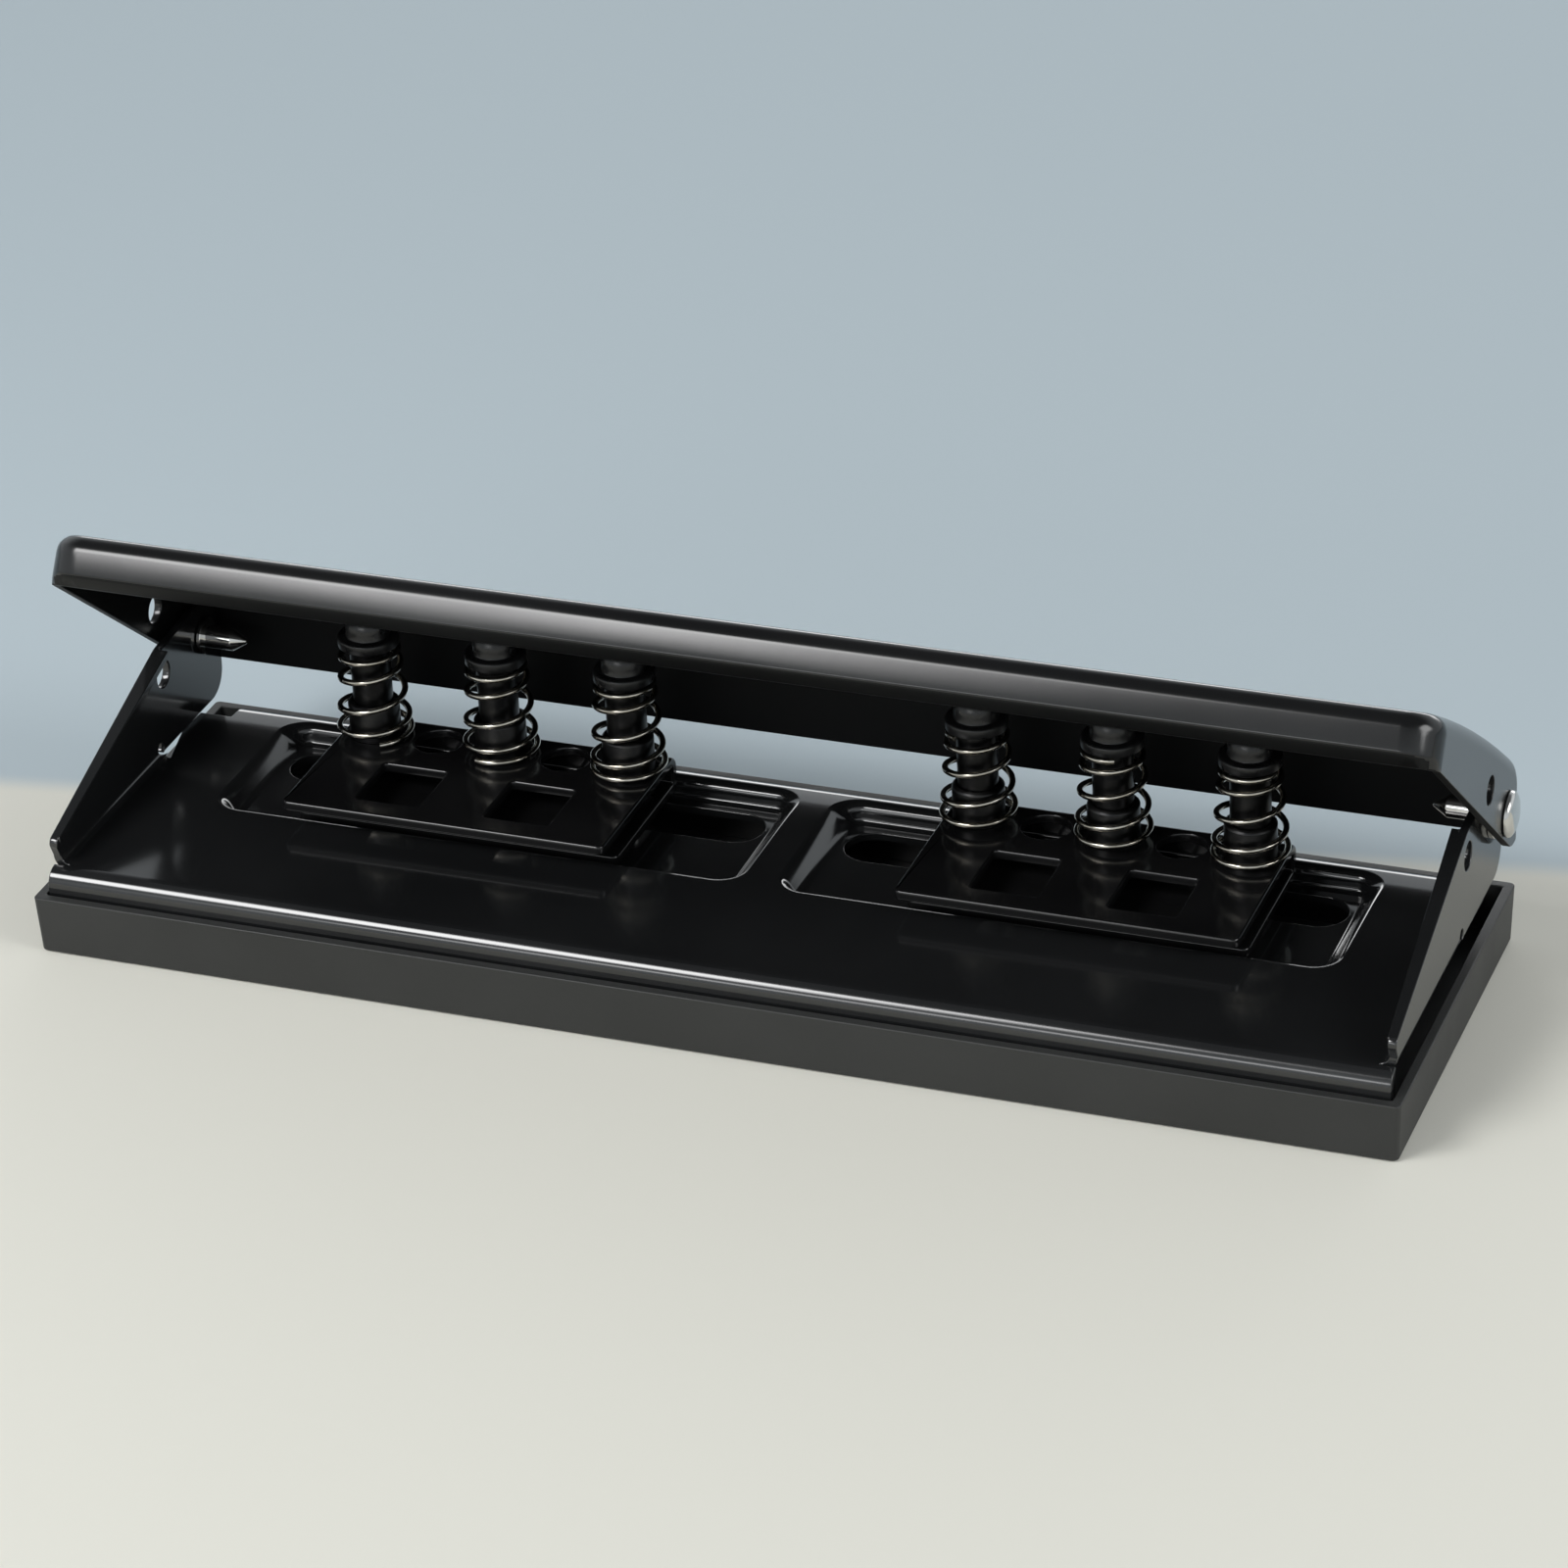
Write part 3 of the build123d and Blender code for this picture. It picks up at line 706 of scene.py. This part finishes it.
lever = pressed_sheet("handle", "handle_pressing")
for line_up in lip_lines:
    sliced(lever, lambda centre, normal: on_lip(centre),
           (0, pivot_y + line_up * square_up[1], pivot_z + line_up * square_up[2]), square_up)
for corner in lever.data.vertices:
    place = corner.co / mm
    reach, above = along_handle(place)
    if on_lip(place):
        # Full along the front, and fading out round the two front corners
        out_x = max(0.0, abs(place.x) - (handle_half - front_corner))
        out_front = reach - (handle_reach - front_corner)
        share = out_front / math.hypot(out_x, out_front) if out_x else 1.0
        # A slight bow all the way down, and below it an arc that goes on as a straight hem
        drop = max(curl_top - above, 0.0)
        bent = min(drop, curl_r * math.sin(curl_turn))
        tuck = curl_r - math.sqrt(curl_r ** 2 - bent ** 2) + (drop - bent) * math.tan(curl_turn)
        tuck += lip_bow * ((lip_top - above) / (lip_top - curl_top)) ** 2
        tuck *= max(0.0, share) ** 2
        corner.co -= tuck * mm * towards_lip
soften(lever, handle_edge, pressed_angle)
handle_enamel = finished_material(
    "handle_enamel", {"Patches": 24, "Dark": lever_dark, "Pale": lever_pale, "Slick": 0.15, "Dull": 0.21},
    enamel_relief, enamel_depth)
dull_enamel = finished_material(
    "dull_enamel", {"Patches": 24, "Dark": lever_dark, "Pale": lever_pale, "Slick": 0.42, "Dull": 0.55},
    enamel_relief, enamel_depth, specular=0.14)
wear(lever, handle_enamel, dull_enamel)
# The inside of the pan and of the turned edge takes the second finish
for face in lever.data.polygons:
    if face.normal.dot(square_up) < under_facing:
        face.material_index = 1
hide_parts("handle")
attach(lever, "handle")


# Pivot pins, washers and clips: nickel-plated steel. Each pin has a domed head outside the
# flange, goes through the washer and the ear, and is held inside by a snap ring.
clip_mouth = 1.2
mouth_drop = 6
past_ends = 110
nickel_dark = (0.56, 0.55, 0.53, 1)
nickel_pale = (0.74, 0.73, 0.71, 1)
# Rings of the upright pieces; their heights become the distances from the middle of the punch
rivet_rings = [
    (0.25, 86.3), (0.4, 86.42), (1.5, 88.22), (1.58, 88.33), (1.6, 88.45), (1.6, 96.45), (2.9, 96.45),
    (3.12, 96.5), (3.2, 96.6), (3.18, 96.85), (3.05, 97.1), (2.8, 97.3), (2.4, 97.5), (1.8, 97.65),
    (1.0, 97.73), (0.3, 97.75)]
disc_rings = [(1.6, 94.4), (3.4, 94.4), (3.5, 94.5), (3.5, 95.05), (3.4, 95.15), (1.6, 95.15), (1.6, 94.4)]
snap_rings = [(1.6, 92.5), (2.6, 92.5), (2.7, 92.6), (2.7, 93.0), (2.6, 93.1), (1.6, 93.1), (1.6, 92.5)]


def laid(piece, name, side):
    # A copy of an upright turned piece, laid along X about the pivot with its top end outwards.
    twin = copied(piece, name, (0, 0, 0))
    twin.rotation_euler = (0, side * math.pi / 2, 0)
    twin.location = (0, pivot_y * mm, pivot_z * mm)
    settle(twin)
    return twin


nickel = finished_material(
    "polished_nickel",
    {"Patches": 260, "Dark": nickel_dark, "Pale": nickel_pale, "Slick": 0.07, "Dull": 0.15},
    {"Ripple": 1500, "Grain": 6000, "Grain Share": 0.4}, depth=2, metallic=1.0)
rivet = turned("rivet", rivet_rings)
disc = turned("disc", disc_rings, joined=True)
ring = turned("ring", snap_rings, joined=True)
for piece in (rivet, disc, ring):
    wear(piece, nickel)
for side, sign in (("left", -1), ("right", 1)):
    pivot = laid(rivet, side + "_rivet", sign)
    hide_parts(side + "_pivot_pin")
    washer = laid(disc, side + "_spacer", sign)
    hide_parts(side + "_pivot_washer")
    clip = laid(ring, side + "_snap_ring", sign)
    mouth = block("mouth", (-past_ends, past_ends), (pivot_y - clip_mouth, pivot_y + clip_mouth),
                  (pivot_z - mouth_drop, pivot_z))
    cut_away(clip, [mouth])
    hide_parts(side + "_pivot_clip")
    for piece in (pivot, washer, clip):
        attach(piece, "base")
for piece in (rivet, disc, ring):
    bpy.data.objects.remove(piece)


# Stage: a pale floor that turns from warm white to a cool grey behind the punch, broad soft lamps
# at the front left, low in front, behind and at the right, and the camera where the photograph
# was taken from.
warm_white = (0.74, 0.73, 0.66, 1)
cool_grey = (0.48, 0.555, 0.595, 1)
floor_size = 12
floor_z = -0.0002
change_slant = -0.165
change_y = (0.030, 0.036)
sky_low = (0.80, 0.85, 0.88, 1)
sky_high = (0.12, 0.125, 0.13, 1)
sky_change = (0.35, 0.85)
aim_z = 0.02


def smooth_ramp(tree, low, high):
    # A value that turns softly from 0 to 1 between two limits.
    ramp = tree.nodes.new("ShaderNodeMapRange")
    ramp.interpolation_type = "SMOOTHSTEP"
    ramp.inputs["From Min"].default_value = low
    ramp.inputs["From Max"].default_value = high
    return ramp


def two_colours(tree, first, second):
    # A node that goes from one colour to another.
    mix = tree.nodes.new("ShaderNodeMix")
    mix.data_type = "RGBA"
    mix.inputs[colour_a].default_value = first
    mix.inputs[colour_b].default_value = second
    return mix


take(None)
bpy.ops.mesh.primitive_plane_add(size=floor_size, location=(0, 0, floor_z))
floor = bpy.context.object
floor.name = "floor"
settle(floor)
floor_paint = bpy.data.materials.new("floor_paint")
floor_paint.use_nodes = True
tree = floor_paint.node_tree
place = tree.nodes.new("ShaderNodeTexCoord")
split = tree.nodes.new("ShaderNodeSeparateXYZ")
# The line where the colour turns runs at a slight slant to the punch
slant = tree.nodes.new("ShaderNodeMath")
slant.operation = "MULTIPLY_ADD"
slant.inputs[1].default_value = change_slant
change = smooth_ramp(tree, change_y[0], change_y[1])
paper = two_colours(tree, warm_white, cool_grey)
shader = tree.nodes["Principled BSDF"]
shader.inputs["Roughness"].default_value = 0.9
shader.inputs["Specular IOR Level"].default_value = 0.1
join = tree.links.new
join(place.outputs["Object"], split.inputs["Vector"])
join(split.outputs["X"], slant.inputs[0])
join(split.outputs["Y"], slant.inputs[2])
join(slant.outputs["Value"], change.inputs["Value"])
join(change.outputs["Result"], paper.inputs["Factor"])
join(paper.outputs[colour_out], shader.inputs["Base Color"])
wear(floor, floor_paint)

# The room: pale at eye level and dark overhead
world = bpy.data.worlds.new("studio")
world.use_nodes = True
bpy.context.scene.world = world
tree = world.node_tree
place = tree.nodes.new("ShaderNodeTexCoord")
split = tree.nodes.new("ShaderNodeSeparateXYZ")
rise = smooth_ramp(tree, sky_change[0], sky_change[1])
sky = two_colours(tree, sky_low, sky_high)
join = tree.links.new
join(place.outputs["Generated"], split.inputs["Vector"])
join(split.outputs["Z"], rise.inputs["Value"])
join(rise.outputs["Result"], sky.inputs["Factor"])
join(sky.outputs[colour_out], tree.nodes["Background"].inputs["Color"])
tree.nodes["Background"].inputs["Strength"].default_value = 0.9


def soft_lamp(name, place, size, power, fade):
    # A large lamp that faces the punch, its light fading towards its own edges.
    lamp = bpy.data.lights.new(name, "AREA")
    lamp.shape = "RECTANGLE"
    lamp.size, lamp.size_y = size
    lamp.energy = power
    lamp.use_nodes = True
    tree = lamp.node_tree
    spot = tree.nodes.new("ShaderNodeNewGeometry")
    split = tree.nodes.new("ShaderNodeSeparateXYZ")
    both = tree.nodes.new("ShaderNodeMath")
    both.operation = "MULTIPLY"
    join = tree.links.new
    join(spot.outputs["Parametric"], split.inputs["Vector"])
    for number, axis in enumerate("XY"):
        inward = tree.nodes.new("ShaderNodeMath")
        inward.operation = "PINGPONG"
        inward.inputs[1].default_value = 0.5
        edge = smooth_ramp(tree, 0, fade)
        join(split.outputs[axis], inward.inputs[0])
        join(inward.outputs[0], edge.inputs["Value"])
        join(edge.outputs["Result"], both.inputs[number])
    join(both.outputs[0], tree.nodes["Emission"].inputs["Strength"])
    holder = bpy.data.objects.new(name, lamp)
    bpy.context.scene.collection.objects.link(holder)
    holder.location = place
    facing = holder.location.copy()
    facing.z -= aim_z
    holder.rotation_euler = facing.to_track_quat("Z", "Y").to_euler()
    holder.visible_camera = False


soft_lamp("front_lamp", place=(-0.46, -0.57, 0.70), size=(0.70, 0.43), power=12.5, fade=0.3)
soft_lamp("low_lamp", place=(-0.22, -1.02, 0.36), size=(0.70, 0.20), power=1.6, fade=0.25)
soft_lamp("rear_lamp", place=(-0.10, 0.95, 0.20), size=(1.20, 0.30), power=3.8, fade=0.2)
soft_lamp("right_lamp", place=(0.90, -0.15, 0.55), size=(0.80, 0.60), power=8.0, fade=0.3)

camera = bpy.data.cameras.new("camera")
camera.lens = 137.28358
camera.sensor_width = 36
viewer = bpy.data.objects.new("camera", camera)
viewer.location = (0.25930390, -0.65181151, 0.40853536)
viewer.rotation_euler = (math.radians(61.27822), math.radians(2.35447), math.radians(20.17439))
bpy.context.scene.collection.objects.link(viewer)
bpy.context.scene.camera = viewer
bpy.context.scene.view_settings.view_transform = "Standard"

take(None)
